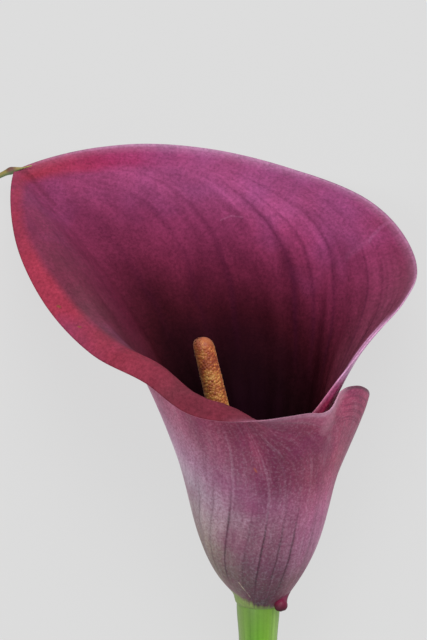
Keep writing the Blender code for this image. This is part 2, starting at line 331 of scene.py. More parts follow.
rim = np.vstack([evenly_along(OUTER_RIM, OUTER_RIBS), evenly_along(INNER_RIM, INNER_RIBS)[1:]])
degrees = rim[:, 0]
neck, lean, roll, lap, dip = [smooth(rows, degrees)[:, 0] for rows in (NECK, LEAN, ROLL, LAP, DIP)]
ribs = [rib(rim[i, 1], rim[i, 2], neck[i], math.radians(lean[i]), roll[i], lap[i], dip[i])
        for i in range(len(rim))]
upright = np.array([round_axis(degrees[i], up[:, 0], up[:, 1]) for i, up in enumerate(ribs)])
upright[..., 0] -= FOOT_ASIDE * fade(upright[..., 2], FOOT_ASIDE_HEIGHT, 0)
sheet = lay_down(upright)
above = sheet[..., 2] - THICKNESS / 2
soft_landing = (above + PRESS)**2 / (4 * PRESS)
sheet[..., 2] = np.where(above < -PRESS, 0, np.where(above > PRESS, above, soft_landing)) + THICKNESS / 2
print(len(ribs), "ribs, from", sheet.min(axis=(0, 1)).round(1), "to", sheet.max(axis=(0, 1)).round(1))

# %% [markdown]
# ## Where the veins run
#
# The veins of a calla's spathe rise side by side through the tube, then bend towards the tip and
# meet there. One formula gives that. With u the part of the way from the midrib to the free edge
# and t the part of the way up a rib, v = u / (1 - t^6.5 + u t^6.5) is u at the foot, 0 along the
# midrib and 1 along the whole rim, so lines of equal v are veins, and the power says how late they
# bend. It is lower on the left. On the front of the tube they also swing a little round the axis,
# so there u is measured from a twisted azimuth. The outer half counts below zero and the inner
# half above, and the colours and the relief both read it.

# %% Height, edge and vein for each point of the sheet
steps = np.linalg.norm(np.diff(sheet, axis=1), axis=2)
along = np.concatenate([np.zeros((len(ribs), 1)), np.cumsum(steps, axis=1)], axis=1)
rise = along / along[:, -1:]                          # 0 at the foot, 1 at the rim
from_rim = along[:, -1:] - along
around = np.repeat(degrees[:, None], RIB_POINTS, axis=1)
rib_radius = np.array([up[:, 0] for up in ribs])
from_side = np.radians(np.minimum(around - OUTER_EDGE, INNER_EDGE - around)) * rib_radius
from_edge = np.minimum(from_rim, from_side)
print("rib lengths", along[:, -1].min().round(1), "to", along[:, -1].max().round(1), "mm")

TWIST_AT, TWIST = 45.0, 0.29     # the front veins swing round this azimuth
TWIST_MIDDLE, TWIST_OVER = 0.22, 0.34                 # parts of the way up
EARLY_BEND, LATER_BEND = 3, 3.5                       # powers: on the left, and added elsewhere
outer_half = around < TIP
swing = 1 - TWIST * np.tanh((rise - TWIST_MIDDLE) / TWIST_OVER)
swung = around + ((around - TWIST_AT) / swing + TWIST_AT - around) * fade(around, 200, 120)
half = np.where(outer_half, (TIP - swung) / (TIP - OUTER_EDGE), (around - TIP) / (INNER_EDGE - TIP))
half = np.clip(half, 0, 1.2)
later = np.where(outer_half, fade(around, 200, 140), fade(around, TIP, TIP + 25))
bend = rise**(EARLY_BEND + LATER_BEND * later)
vein = half / (1 - bend + half * bend + 1e-6)         # never a division by 0
vein = np.where(outer_half, -vein, vein)
VEIN_MM = 62.0                   # half of the tube is about this wide, so vein * VEIN_MM is in mm
RISE_MM = 90.0                   # and a rib is about this long

# %% [markdown]
# ## Relief and thickness
#
# A living sheet is never quite smooth. Low soft waves follow the veins, the midrib is a shallow
# fold near the tip, and one crease stands up on the right of the limb. These are moved in the
# mesh, as they catch the light. A bump in the material would look right only from afar.

# %% Shape the sheet
WAVE_HEIGHT = 0.10
WAVES = [(13.0, 1.0, 0.0), (22.1, 0.6, 1.3), (5.59, 0.5, 0.4)]  # waves over one half, share, shift
CREASE_AT, CREASE_WIDTH, CREASE_HEIGHT = 314.5, 4.0, 0.9        # degrees, degrees, mm
CREASE_TURN = 8.0                # degrees that it swings to the left on its way down
MIDRIB_WIDTH, MIDRIB_DEPTH = 3.0, 0.40


def outward(grid):
    """Normals of the sheet, pointing out of the funnel."""
    normals = np.cross(np.gradient(grid, axis=1), np.gradient(grid, axis=0))
    return normals / np.linalg.norm(normals, axis=2, keepdims=True)


waves = sum(share * np.sin(2 * math.pi * count * vein + shift) for count, share, shift in WAVES)
waves = waves * WAVE_HEIGHT * fade(rise, 0, 0.25) * fade(from_edge, 0, 6)
waves = waves * (0.5 + 0.5 * fade(around, 200, 230))  # the left side is smoother
crease_at = CREASE_AT - CREASE_TURN * fade(rise, 0.94, 0.78)
off_crease = (around - crease_at) / CREASE_WIDTH
crease = CREASE_HEIGHT * np.exp(-off_crease**2) * fade(rise, 0.6, 0.8) * fade(from_rim, 0, 5)
off_midrib = (around - TIP) / MIDRIB_WIDTH
midrib = MIDRIB_DEPTH * np.exp(-off_midrib**2) * fade(rise, 0.6, 0.9) * fade(from_rim, 1, 7)
held = fade(sheet[..., 2], 0.6, 2.6)                  # no relief where it is pressed on the surface
relief = (waves - crease + midrib) * held
sheet = sheet + outward(sheet) * relief[..., None]
normals = outward(sheet)
print("relief", relief.min().round(2), "to", relief.max().round(2), "mm")

# %% [markdown]
# ## Two faces and an edge
#
# Blender's Solidify modifier could close the sheet, with a vertex group for its thickness. But both faces
# also have to stay level where the back is pressed flat, so they are placed half the local thickness either
# side, and stitched together round the edge.

# %% Close the sheet
thin = RIM_THICKNESS + (THICKNESS - RIM_THICKNESS) * fade(from_edge, 0, 7)
thin = thin * (0.4 + 0.6 * fade(along, 0, 1.2))       # the foot draws in, so the stem runs into it
lying = sheet[..., 2] < THICKNESS / 2 + 0.05
outer_face = sheet + normals * (thin / 2)[..., None]
inner_face = sheet - normals * (thin / 2)[..., None]
outer_face[..., 2] = np.where(lying, 0.0, np.maximum(outer_face[..., 2], 0.0))
inner_face[..., 2] = np.where(lying, thin, inner_face[..., 2])
print("thickness", thin.min().round(2), "to", thin.max().round(2), "mm")


def sheet_faces(rib_count, rows, lap_rib):
    """Quads of the outer face, the inner face and the closed edge, and each one's material."""
    point = np.arange(rib_count * rows).reshape(rib_count, rows)
    a, b, c, d = point[:-1, :-1], point[1:, :-1], point[1:, 1:], point[:-1, 1:]
    outer = np.stack([a, d, c, b], axis=-1).reshape(-1, 4)
    inner = np.stack([a, b, c, d], axis=-1).reshape(-1, 4) + point.size
    border = np.concatenate([point[:, 0], point[-1, 1:], point[-2::-1, -1], point[0, -2:0:-1]])
    after = np.roll(border, -1)
    edge = np.stack([border, after, after + point.size, border + point.size], axis=-1)
    on_lap = np.repeat(np.arange(rib_count - 1) >= lap_rib, rows - 1)
    face_material = np.concatenate([np.where(on_lap, 2, 0), np.full(len(inner), 1), np.zeros(len(edge))])
    return np.vstack([outer, inner, edge]).tolist(), face_material


# %% [markdown]
# ## Where the pigments lie
#
# The colours of the sheet are mostly pigments in its outer cells, each with its own region, and a few
# regions are painted light and shade. The throat is nearly black, with anthocyanin and with painted shade of
# the deep funnel, and opens to orchid purple on the limb. A crimson blush runs along the rolled margin to
# the tip. The very edge has few pigment cells and stays pale. Outside, olive flesh shows through on the left
# and behind, and the foot is green. Each region is one number from 0 to 1 on every point, from short lists
# round the axis.

# %% Pigment regions of the open side, with painted shade in the throat
def round_the_axis(*places):
    """A region from (degrees, amount) places round the axis, held between 0 and 1."""
    return np.clip(smooth(places, degrees)[:, 0], 0, 1)[:, None] + 0 * rise


throat_end = round_the_axis((4, .40), (150, .30), (180, .20), (205, .30), (225, .39), (250, .42),
                            (275, .41), (295, .36), (312, .31), (330, .25), (350, .20), (440, .20))
brightest = round_the_axis((4, .60), (150, .56), (168, .85), (188, .70), (205, .79), (225, .87),
                           (245, .95), (265, .95), (285, .92), (300, .88), (320, .80), (335, .82),
                           (350, .93), (440, .9))
opening = round_the_axis((4, .8), (150, .5), (185, .35), (205, .60), (225, .95), (245, 1), (440, 1))
opening = opening + 0.18 * np.exp(-((around - 268) / 26)**2) - 0.35 * fade(around, 325, 345)
limb = brightest * np.clip((rise - throat_end) / (0.88 - throat_end), 0, 1)**opening
open_limb = limb * fade(around, 340, 320)             # without the lap
reddish = round_the_axis((4, 1), (150, 1), (185, .7), (210, .25), (235, .05), (255, 0), (305, 0),
                         (325, .3), (340, .6), (440, .6))
combed = 0.25 + 0.75 * fade(around, 205, 230)         # the left side shows fewer streaks
combed = combed * (0.3 + 0.7 * fade(from_rim, 2, 18))                 # and so does the rim
print("limb", limb.min().round(2), "to", limb.max().round(2))

# %% [markdown]
# ## The margin
#
# The blush is about 10 mm wide, narrowest just before the tip, and ends a little past it. It
# brightens towards the tip. The pale edge comes and goes along the rim.

# %% Blush and pale edge
blush_round = round_the_axis((4, 0), (60, 0), (85, .8), (130, 1), (180, 1), (208, 1), (224, 1),
                             (236, .7), (246, .25), (255, 0), (440, 0))
blush_width = round_the_axis((4, .95), (150, .95), (180, .80), (208, .55), (220, .85), (236, 1.2),
                             (440, 1.2))
WIDEST_BLUSH, BLUSH_FADE = 10, 4  # mm
blush_end = WIDEST_BLUSH * blush_width
blush = blush_round * fade(from_edge, blush_end, blush_end - BLUSH_FADE)
blush_bright = 0.8 * fade(around, 95, 190) + 0.2 * fade(around, 214, 236)
pale_round = round_the_axis((4, .6), (16, .2), (34, .1), (42, .5), (48, 1), (56, .8), (66, .5),
                            (88, .35), (110, 0), (175, 0), (211, 0), (219, .45), (230, .8), (240, 1),
                            (262, .9), (278, .8), (300, .9), (330, .6), (350, .5), (440, .4))
pale_edge = pale_round * (0.6 * fade(from_edge, 1.3, 0.3) + 0.4 * fade(from_edge, 4, 0))
print("blush on", round(100 * (blush > 0.5).mean()), "% of the sheet")

# %% [markdown]
# ## The outside
#
# Round the tube the skin goes from dusky mauve in front to rose on the right and olive on the left, and both
# flanks are also painted paler, a painted sheen where the tube turns away. The inner lap turns its edge up
# behind the front lobe, and there its colour is painted light and shade: pale lilac above for the light that
# shines through it, and deep crimson below, partly pigment and partly painted shade under the lobe. The foot
# takes on the green of the stem.

# %% Regions of the outside
to_left = round_the_axis((4, 0), (85, 0), (102, .20), (114, .40), (126, .62), (138, .82), (150, 1),
                         (214, 1), (300, .8), (440, .8))
to_left = to_left**(2.4 - 2.4 * np.minimum(rise, 0.8))                # further round, higher up
to_right = round_the_axis((4, 1), (36, 1), (43, .85), (54, .55), (66, .22), (78, .04), (88, 0),
                          (440, 0))
turned_up = round_the_axis((4, 0), (335, 0), (350, 1), (440, 1))
turned_up_end = 32 + 16 * fade(around, 350, 375)      # mm from the rim
turned_up = turned_up * fade(from_rim, turned_up_end, turned_up_end - 18)
turned_over = turned_up * fade(around, 353, 365) * fade(from_rim, 34, 16)
height_up = upright[..., 2]
# the lap is crimson below the lobe's top: partly pigment, partly painted shade under the lobe
lower_lap = 0.5 * fade(height_up, 62, 58) + 0.5 * fade(height_up, 57.5, 55)
lower_lap = lower_lap * fade(around, 384, 392)
lobe = fade(around, 44, 36) * fade(rise, 0.72, 0.87)
lobe_edge = fade(around, 42, 38) * fade(from_rim, 1.0, 0.4)
green_line = round_the_axis((4, .0), (60, .012), (95, .022), (120, .038), (145, .055), (180, .07),
                            (300, .07), (440, .0))
GREEN_FADE = 0.05                # of a rib, over which the skin's noise feathers the line
foot_green = 0.5 + (green_line - rise) / GREEN_FADE
print("turned up:", round(100 * (turned_up > 0.5).mean()), "% of the sheet")

# %% [markdown]
# ## Patterns along the veins
#
# A few patterns repeat in the skins. Streaks are noise stretched along the veins. The main veins
# are placed one by one, as narrow stops of a ramp that is read with the vein number. The grain of
# the domed skin cells is really about 0.05 mm, too fine to show, so it is drawn at 0.3 to 0.4 mm.
# A stroke is a soft line between two places, for a scratch or a fold.

# %% Streaks, main veins, grain and strokes
VEIN_SWAY = 0.5                  # mm, so that no vein is ruled


def swaying_vein(tree):
    vein_at = add(tree, "Attribute", out=2, attribute_name="vein")
    place = add(tree, "TexCoord", out="Object")
    slow = add(tree, "TexNoise", {"Vector": place, "Scale": 90.0, "Detail": 2.0})
    return add(tree, "Math", [slow, 2 * VEIN_SWAY / VEIN_MM, vein_at], operation="MULTIPLY_ADD")


def streaks(tree, vein_at, rise_at, width, length, detail=3.0):
    """Noise drawn out along the veins, with streaks about this wide and long in mm."""
    across = add(tree, "Math", [vein_at, VEIN_MM / width / 2], operation="MULTIPLY")
    up = add(tree, "Math", [rise_at, RISE_MM / length / 2], operation="MULTIPLY")
    at = add(tree, "CombineXYZ", [across, up])
    return add(tree, "TexNoise", {"Vector": at, "Scale": 1.0, "Detail": detail, "Roughness": 0.6},
               noise_dimensions="2D")


def main_veins(tree, vein_at, rise_at, veins, width, between):
    """A mask of (place, strength) veins, this wide in mm, that shows at (rise, strength) stops."""
    reach = width / VEIN_MM
    stops = [(0.0, 0.0)]
    for place, strength in veins:
        stops += [(place - reach, 0.0), (place, strength), (place + reach, 0.0)]
    size = add(tree, "Math", [vein_at], operation="ABSOLUTE")
    line = add(tree, "ValToRGB", [size], stops=stops)
    shown = add(tree, "ValToRGB", [rise_at], stops=between)
    return add(tree, "Math", [line, shown], operation="MULTIPLY")


def grain(tree, size, detail=2.0):
    """Fine noise fixed to the piece, with grains about this size in mm."""
    place = add(tree, "TexCoord", out="Object")
    return add(tree, "TexNoise",
               {"Vector": place, "Scale": 1000 / size / 2, "Detail": detail, "Roughness": 0.7})


def stroke(tree, rise_at, start, end, degree_mm, rib_mm, width):
    """A soft line between two (degrees, rise) places, where one degree and one rib are this long."""
    way = Vector(((end[0] - start[0]) * degree_mm, (end[1] - start[1]) * rib_mm, 0))
    around_at = add(tree, "Attribute", out=2, attribute_name="around")
    across = add(tree, "Math", [around_at, 100 * degree_mm, -start[0] * degree_mm], operation="MULTIPLY_ADD")
    up = add(tree, "Math", [rise_at, rib_mm, -start[1] * rib_mm], operation="MULTIPLY_ADD")
    at = add(tree, "CombineXYZ", [across, up])
    gone = add(tree, "VectorMath", [at, way / way.length_squared], operation="DOT_PRODUCT", out=1)
    gone = add(tree, "Clamp", [gone])
    nearest = add(tree, "VectorMath", {0: way, 3: gone}, operation="SCALE")
    off = add(tree, "VectorMath", [at, nearest], operation="DISTANCE", out=1)
    return add(tree, "MapRange", [off, width / 2, width / 6, 0.0, 1.0])


print("one half of the tube is", VEIN_MM, "mm wide and a rib", RISE_MM, "mm long")

# %% [markdown]
# ## Pigment over pigment
#
# Real skin is layered: flesh, then pigment cells, then the shine of the outer wall. Each material
# is built up the same way. A layer is laid over the colour so far wherever its mask is between two
# values, and a pattern can also darken and lighten all that lies under it.

# %% Layers, variation and velvet
NOISE_LOW, NOISE_HIGH = 0.3, 0.7                      # nearly all of a noise lies between these


def lay_over(tree, colour, *layers):
    """Lay (pigment, mask, low, high, strength) layers over a colour, in turn.

    There is none of a layer where its mask is at the low value, and this strength of it at the
    high one. A layer without those two goes from 0 to 1. A pair of masks is multiplied, to hold
    a pattern within a region.
    """
    for pigment, mask, *between, strength in layers:
        low, high = between or (0.0, 1.0)
        if isinstance(mask, tuple):
            mask = add(tree, "Math", mask, operation="MULTIPLY")
        amount = add(tree, "MapRange", [mask, low, high, 0.0, strength])
        over = linear(pigment) if isinstance(pigment, str) else pigment
        colour = add(tree, "Mix", {0: amount, 6: colour, 7: over}, out=2, data_type="RGBA")
    return colour


def vary(tree, colour, pattern, darkest, lightest, amount=1.0, low=NOISE_LOW, high=NOISE_HIGH):
    """Darken and lighten a colour as a pattern goes from low to high."""
    tone = add(tree, "MapRange", [pattern, low, high, darkest, lightest])
    return add(tree, "Mix", {0: amount, 6: colour, 7: tone}, out=2, data_type="RGBA",
               blend_type="MULTIPLY")


def velvet(tree, cells, ridges, roughest):
    """Domed cells and vein ridges in relief, and the uneven gloss they give."""
    height = add(tree, "Math", [ridges, 1.2, cells], operation="MULTIPLY_ADD")
    bump = add(tree, "Bump", {"Height": height, "Strength": 0.6, "Distance": 0.00012})
    gloss = add(tree, "MapRange", [cells, NOISE_LOW, NOISE_HIGH, roughest - 0.15, roughest])
    return {"Normal": bump, "Roughness": gloss}


print("a noise is read from", NOISE_LOW, "to", NOISE_HIGH)

# %% [markdown]
# ## Colours of the outer skin
#
# A mauve skin over pale green flesh. The colour runs from the olive foot to the rim in three ramps, for the
# front, the right and the left, which the regions above blend. The right and left ramps are paler, partly
# rose and olive pigment and partly a painted sheen where the tube turns away. Each stop is a part of the way
# up the rib. The whitish veins show on the upper half and a few dark ones low on the tube.

# %% Ramps and veins of the outer skin
FRONT_SKIN = [
    (0.02, "#403c37"), (0.08, "#483e40"), (0.17, "#5e4a4e"), (0.26, "#684a58"), (0.36, "#7c5464"),
    (0.46, "#8a6072"), (0.56, "#8e5a75"), (0.66, "#713850"), (0.76, "#6b3046"), (0.87, "#6c2f44"),
    (0.97, "#793b4f")]
# the right and left ramps are paler than the front: partly pigment, partly a painted sheen at the flanks
RIGHT_SKIN = [
    (0.05, "#906068"), (0.17, "#966a74"), (0.26, "#ba7d9a"), (0.36, "#c884a8"), (0.46, "#c2749b"),
    (0.56, "#b45f80"), (0.68, "#a85068"), (0.80, "#a8506c"), (0.95, "#b24a6c")]
LEFT_SKIN = [
    (0.05, "#958f78"), (0.17, "#827a6a"), (0.26, "#9a8b7f"), (0.36, "#b6a3a6"), (0.46, "#c0aaba"),
    (0.56, "#b689a4"), (0.66, "#b06d88"), (0.80, "#ae4e6c")]
# painted light and shade on the lap: pale lilac where light shines through it, deep crimson in the lobe's
# shade
LAP_SKIN = [(0.0, "#f0aee0"), (0.5, "#cc4e86"), (1.0, "#b02450")]     # lilac above, crimson below

# veins are (place, strength), and the parts of the rib where they show (rise, strength)
WHITISH_VEINS = [(0.40, .7), (0.455, .4), (0.557, 1.0), (0.63, .5), (0.757, .6)]
WHITISH_SHOWN = [(0.40, 0.0), (0.52, 1.0), (0.74, 1.0), (0.88, 0.0)]
DARK_VEINS = [(0.25, .35), (0.31, .4), (0.39, .9), (0.487, .4), (0.56, 1.0), (0.645, .65),
              (0.71, .8), (0.83, .3)]
DARK_SHOWN = [(0.08, 0.0), (0.18, 1.0), (0.42, 0.9), (0.60, 0.0)]
print(len(FRONT_SKIN + RIGHT_SKIN + LEFT_SKIN), "colours up the outer skin")

# %% [markdown]
# ## Outer skin
#
# Its outermost cells are domed like tiny lenses, which makes the petal velvety: no clear highlight,
# but a pale bloom where the sheet turns away from the eye. That bloom is the shader's sheen. Plant
# skin has an IOR near 1.45 and no metal, so the shader's own 1.5 and 0 stay. Over the ramps lie
# soft streaks, the veins, single darker and paler cells, and the marks of handling.
# The lap that goes in under the lobe lies in its shade. It has the same skin without gloss or
# bloom, as at such a grazing angle they would make it look grey.

# %% Make the outer skin
def outer_skin(name, gloss, sheen):
    """Living velvety skin: semi-matt, mauve and streaked, with a bloom where it turns away."""
    (material, tree, rise_at, left_at, right_at, pale_at, green_at, turned_at, lap_at, lobe_at,
     lobe_edge_at) = new_material(name, "rise", "to_left", "to_right", "pale_edge", "foot_green",
                                  "turned_up", "lower_lap", "lobe", "lobe_edge")
    vein_at = swaying_vein(tree)
    front, right, left = [add(tree, "ValToRGB", [rise_at], stops=stops)
                          for stops in (FRONT_SKIN, RIGHT_SKIN, LEFT_SKIN)]
    lap = add(tree, "ValToRGB", [lap_at], stops=LAP_SKIN)
    colour = lay_over(tree, front, (right, right_at, 1.0), (left, left_at, 1.0), (lap, turned_at, 1.0))

    # soft broad streaks, then fine ones
    colour = vary(tree, colour, streaks(tree, vein_at, rise_at, 3.0, 20.0), 0.82, 1.18)
    fine = streaks(tree, vein_at, rise_at, 0.6, 6.0)
    white = main_veins(tree, vein_at, rise_at, WHITISH_VEINS, 0.7, WHITISH_SHOWN)
    dark = main_veins(tree, vein_at, rise_at, DARK_VEINS, 0.5, DARK_SHOWN)
    colour = lay_over(tree, colour, ("#6f2450", fine, 0.50, 0.28, 0.22), ("#c3a6ba", fine, 0.54, 0.76, 0.14),
                      ("#cbb0c2", white, 0.1, 1.0, 0.18), ("#33272a", dark, 0.0, 0.9, 0.95))

    # single cells with more or less pigment, drawn at 0.3 mm, and richer patches a few mm across
    specks = grain(tree, 0.3, 3.0)
    patches = grain(tree, 7.0, 2.0)
    colour = lay_over(tree, colour, ("#6c1c4a", specks, 0.44, 0.68, 0.46),
                      ("#cfaecb", specks, 0.50, 0.26, 0.17), ("#7c2a58", patches, 0.50, 0.70, 0.42))

    # the lobe at the right: fine veins run across it, its edge is dark, and a painted highlight lies along
    # the fold that crosses it
    across = streaks(tree, vein_at, rise_at, 14.0, 0.55)
    fold_highlight = stroke(tree, rise_at, (42.5, 0.985), (50.5, 0.93), 0.44, 60, 6.0)
    colour = lay_over(tree, colour, ("#6a2444", (across, lobe_at), 0.50, 0.62, 0.45),
                      ("#54404a", lobe_edge_at, 0.6), ("#c890a4", fold_highlight, 0.35))

    # the pale edge and the green foot with its feathered line
    feather = streaks(tree, vein_at, rise_at, 0.5, 4.0)
    line = add(tree, "Math", [feather, 0.9, green_at], operation="MULTIPLY_ADD")
    colour = lay_over(tree, colour, ("#c9a3bb", pale_at, 0.6), ("#86a055", line, 0.68, 1.22, 0.9))

    # a pale broken scratch low on the left and an orange fleck
    scratch = stroke(tree, rise_at, (119.7, 0.145), (109.0, 0.070), 0.16, 80, 0.55)
    fleck = stroke(tree, rise_at, (94.2, 0.708), (94.8, 0.712), 0.4, 75, 1.1)
    colour = lay_over(tree, colour, ("#c3b9a0", (scratch, grain(tree, 0.8, 1.0)), 0.3, 0.6, 0.55),
                      ("#a8583c", fleck, 0.6))

    cells = grain(tree, 0.4)
    colour = vary(tree, colour, cells, 0.86, 1.13)
    return complete(material, {
        "Base Color": colour, **velvet(tree, cells, fine, 0.62), "Specular IOR Level": gloss,
        "Sheen Weight": sheen, "Sheen Roughness": 0.35, "Sheen Tint": linear("#f2d6ee")})


open_skin = outer_skin("spathe_outer_skin", gloss=0.2, sheen=0.16)
shaded_skin = outer_skin("spathe_lap_skin", gloss=0.02, sheen=0.0)

# %% [markdown]
# ## Colours of the inner skin
#
# The open side of the sheet carries far more pigment. Deep in the throat it takes nearly all the light, and
# there the colour is also painted shade of the deep funnel. Further out it opens to orchid purple, with a
# crimson margin. A few marks are drawn with strokes, which are measured in millimetres there, so each says
# how long a degree and a rib are. Two of them are painted highlights along the ridge of the crease.

# %% Ramps, veins and marks of the inner skin
# from the throat out to the limb: the darkest stops are pigment and painted shade of the deep funnel
LIMB_SKIN = [
    (0.0, "#100407"), (0.14, "#18070a"), (0.28, "#280b12"), (0.38, "#3a101a"), (0.48, "#4d1728"),
    (0.58, "#632039"), (0.69, "#772b4b"), (0.80, "#85345a"), (0.90, "#92406a"), (1.0, "#9c4a78")]
MARGIN_SKIN = [(0.0, "#702c3a"), (0.4, "#833242"), (0.8, "#983448"), (1.0, "#98305c")]
LIMB_VEINS = [(0.06, .5), (0.145, .5), (0.213, .7), (0.352, 1.0), (0.398, .8), (0.465, .8),
              (0.587, .9), (0.663, .8), (0.718, .5), (0.783, .6)]
LIMB_SHOWN = [(0.52, 0.0), (0.64, 1.0), (0.84, 1.0), (0.97, 0.2)]

# (pigment, strength, start, end, mm to a degree, mm to a rib, width in mm)
MARKS = [
    ("#4a1c26", 0.3, (215.1, 0.89), (215.4, 0.985), 0.9, 90, 1.4),    # the brown midrib by the tip
    # the next two marks are painted highlights: along the ridge of the crease and at its lower end
    ("#c07aa8", 0.12, (314.0, 0.91), (314.8, 0.99), 0.9, 88, 1.6),    # the ridge of the crease
    ("#c07aa8", 0.05, (309.0, 0.835), (314.0, 0.91), 0.9, 88, 2.6),   # and its lower end
    ("#b47a9c", 0.13, (256.1, 0.820), (260.1, 0.835), 0.8, 95, 0.5),  # a faint arc
    ("#b47a9c", 0.13, (260.1, 0.835), (264.1, 0.837), 0.8, 95, 0.5),
    ("#7a5a30", 0.7, (179.0, 0.972), (179.3, 0.974), 0.9, 80, 0.8),   # two brown specks
    ("#7a5a30", 0.6, (172.0, 0.964), (172.3, 0.966), 0.9, 80, 0.7),
]
print(len(LIMB_VEINS), "veins and", len(MARKS), "marks on the inner skin")

# %% [markdown]
# ## Inner skin
#
# The same velvet grain as outside, but what it reflects is tinted, as light that grazes the domed
# cells has passed through their pigment. Patches, haze and streaks come before the marks, so that
# the marks lie on top.

# %% Make the inner skin
def inner_skin():
    """Living velvety skin, full of pigment, with a throat made nearly black by it and by painted shade; it
    hardly shines.
    """
    (material, tree, rise_at, limb_at, reddish_at, blush_at, bright_at, pale_at, turned_at, combed_at,
     open_at) = new_material("spathe_inner_skin", "rise", "limb", "reddish", "blush", "blush_bright",
                             "pale_edge", "turned_over", "combed", "open_limb")
    vein_at = swaying_vein(tree)
    colour = add(tree, "ValToRGB", [limb_at], stops=LIMB_SKIN)
    margin = add(tree, "ValToRGB", [bright_at], stops=MARGIN_SKIN)

    # redder and with dusky patches on the left, where green flesh shows through, pale where the
    # lap's edge is turned up, crimson along the margin, and a bluish haze on the open limb
    colour = lay_over(tree, colour, ("#7c343e", (reddish_at, limb_at), 0.7),
                      ("#54363c", (grain(tree, 11.0, 3.0), reddish_at), 0.12, 0.50, 0.6),
                      ("#cc90b8", turned_at, 1.0),
                      (margin, (grain(tree, 9.0, 3.0), blush_at), 0.02, 0.50, 1.0),
                      ("#8c5898", (grain(tree, 12.0, 2.0), open_at), 0.38, 0.60, 0.17))

    # veins and streaks, dark on the limb and reddish in the throat
    colour = vary(tree, colour, streaks(tree, vein_at, rise_at, 2.6, 15.0), 0.78, 1.20, combed_at)
    colour = vary(tree, colour, grain(tree, 3.5, 4.0), 0.84, 1.15)
    fine = streaks(tree, vein_at, rise_at, 0.9, 4.5, 4.0)
    colour = vary(tree, colour, fine, 0.88, 1.11, combed_at)
    dark = main_veins(tree, vein_at, rise_at, LIMB_VEINS, 0.6, LIMB_SHOWN)
    colour = lay_over(tree, colour, ("#3a1028", (dark, combed_at), 0.5), ("#bd8cad", pale_at, 0.85))
    for pigment, strength, *place in MARKS:
        colour = lay_over(tree, colour, (pigment, stroke(tree, rise_at, *place), strength))

    cells = grain(tree, 0.4, 3.0)
    colour = vary(tree, colour, cells, 0.74, 1.24)
    return complete(material, {
        "Base Color": colour, **velvet(tree, cells, fine, 0.66), "Specular IOR Level": 0.10,
        "Specular Tint": linear("#b05888")})


dark_skin = inner_skin()

# %% [markdown]
# ## The spathe
#
# The two faces and the edge become one mesh with three materials: the outer skin, the inner skin
# and the shaded lap. Every number is given twice, once for each face.

# %% Make the spathe
LAP_FROM = 388.0                 # degrees, where the inner lap goes in under the lobe
faces, face_material = sheet_faces(len(ribs), RIB_POINTS, int(np.searchsorted(degrees, LAP_FROM)))
numbers = dict(
    rise=rise, around=around / 100, vein=vein, limb=limb, open_limb=open_limb, reddish=reddish,
    blush=blush, blush_bright=blush_bright, pale_edge=pale_edge, combed=combed, to_left=to_left,
    to_right=to_right, turned_up=turned_up, turned_over=turned_over, lower_lap=lower_lap,
    lobe=lobe, lobe_edge=lobe_edge, foot_green=foot_green)
numbers = {label: np.stack([values, values]) for label, values in numbers.items()}
spathe = make_piece("spathe_sheet", np.stack([outer_face, inner_face]).reshape(-1, 3), faces, numbers,
                    [open_skin, dark_skin, shaded_skin], face_material)
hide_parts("spathe")

# %% [markdown]
# ## The tip's tail
#
# The spathe runs out into a thin tail that dries first, while the rest is still fresh. What has
# dried is matt and papery, green and brown in patches, and darkest at its knot.

# %% Dried skin of the tail
def dried_tail():
    """Dried plant tissue: papery, without gloss, olive with a brown knot."""
    material, tree, down, upper = new_material("dried_tail_skin", "down", "upper")
    spot = grain(tree, 0.8, 3.0)
    place = add(tree, "Math", [spot, 0.08, down], operation="MULTIPLY_ADD")
    colour = add(tree, "ValToRGB", [place],
                 stops=[(0.10, "#a09a52"), (0.28, "#8f7c42"), (0.34, "#6b4038"), (0.40, "#6a4436"),
                        (0.46, "#8a7c3e"), (1.0, "#7b7a42")])
    colour = lay_over(tree, colour, ("#5f7c52", upper, 0.1, -0.7, 0.8))
    colour = vary(tree, colour, spot, 0.85, 1.12)
    return complete(material, {"Base Color": colour, "Roughness": 0.6})


tail_skin = dried_tail()

# %% [markdown]
# ## Shape of the tail
#
# It leaves the edge just short of the tip, bends over a small brown knot and droops to the left. A
# tube along a path is enough, with a radius that swells at the knot and runs out to a point.

# %% Make the tail
TAIL_LENGTH, TAIL_DROOP = 15.0, 2.5
TAIL_SHAPE = [(0, 0.12), (0.2, 0.38), (0.28, 0.75), (0.34, 1.0), (0.42, 0.8), (0.7, 0.62), (1, 0.2)]
TAIL_SIDES, TAIL_RINGS = 20, 70
TAIL_KNOT = 0.3                  # the part of the way down where it passes the tip
TAIL_OFF = np.array([-0.3, 0.3, 0.0])
TAIL_WAY = np.array([-0.89, -0.40, -0.20])
tip = sheet[OUTER_RIBS - 1, -1]
tail_root = tip + np.array([4.6, 1.3, -0.1])
down = np.linspace(0, 1, TAIL_RINGS)[:, None]
past_knot = down - TAIL_KNOT
tail_bend = tail_root + (tip - tail_root) * (down / TAIL_KNOT)
tail_free = tip + TAIL_OFF + TAIL_WAY * TAIL_LENGTH * past_knot
tail_free[:, 2] -= TAIL_DROOP * past_knot[:, 0]**2
tail_path = tail_bend + (tail_free - tail_bend) * fade(down, 0.1, 0.5)
tail_points = tube_points(tail_path, smooth(TAIL_SHAPE, down[:, 0])[:, 0], TAIL_SIDES)
upper = np.cos(2 * math.pi * (np.arange(TAIL_SIDES) + 0.5) / TAIL_SIDES)
tail = make_tube("spathe_tail", tail_points, {"down": down, "upper": upper}, [tail_skin])

# %% [markdown]
# ## The knob at the foot
#
# The sheet's outer edge ends at the foot in a small fleshy knob, curled round to the front. Its
# skin is smoother than the sheet's and shines a little more. It darkens to its round end.

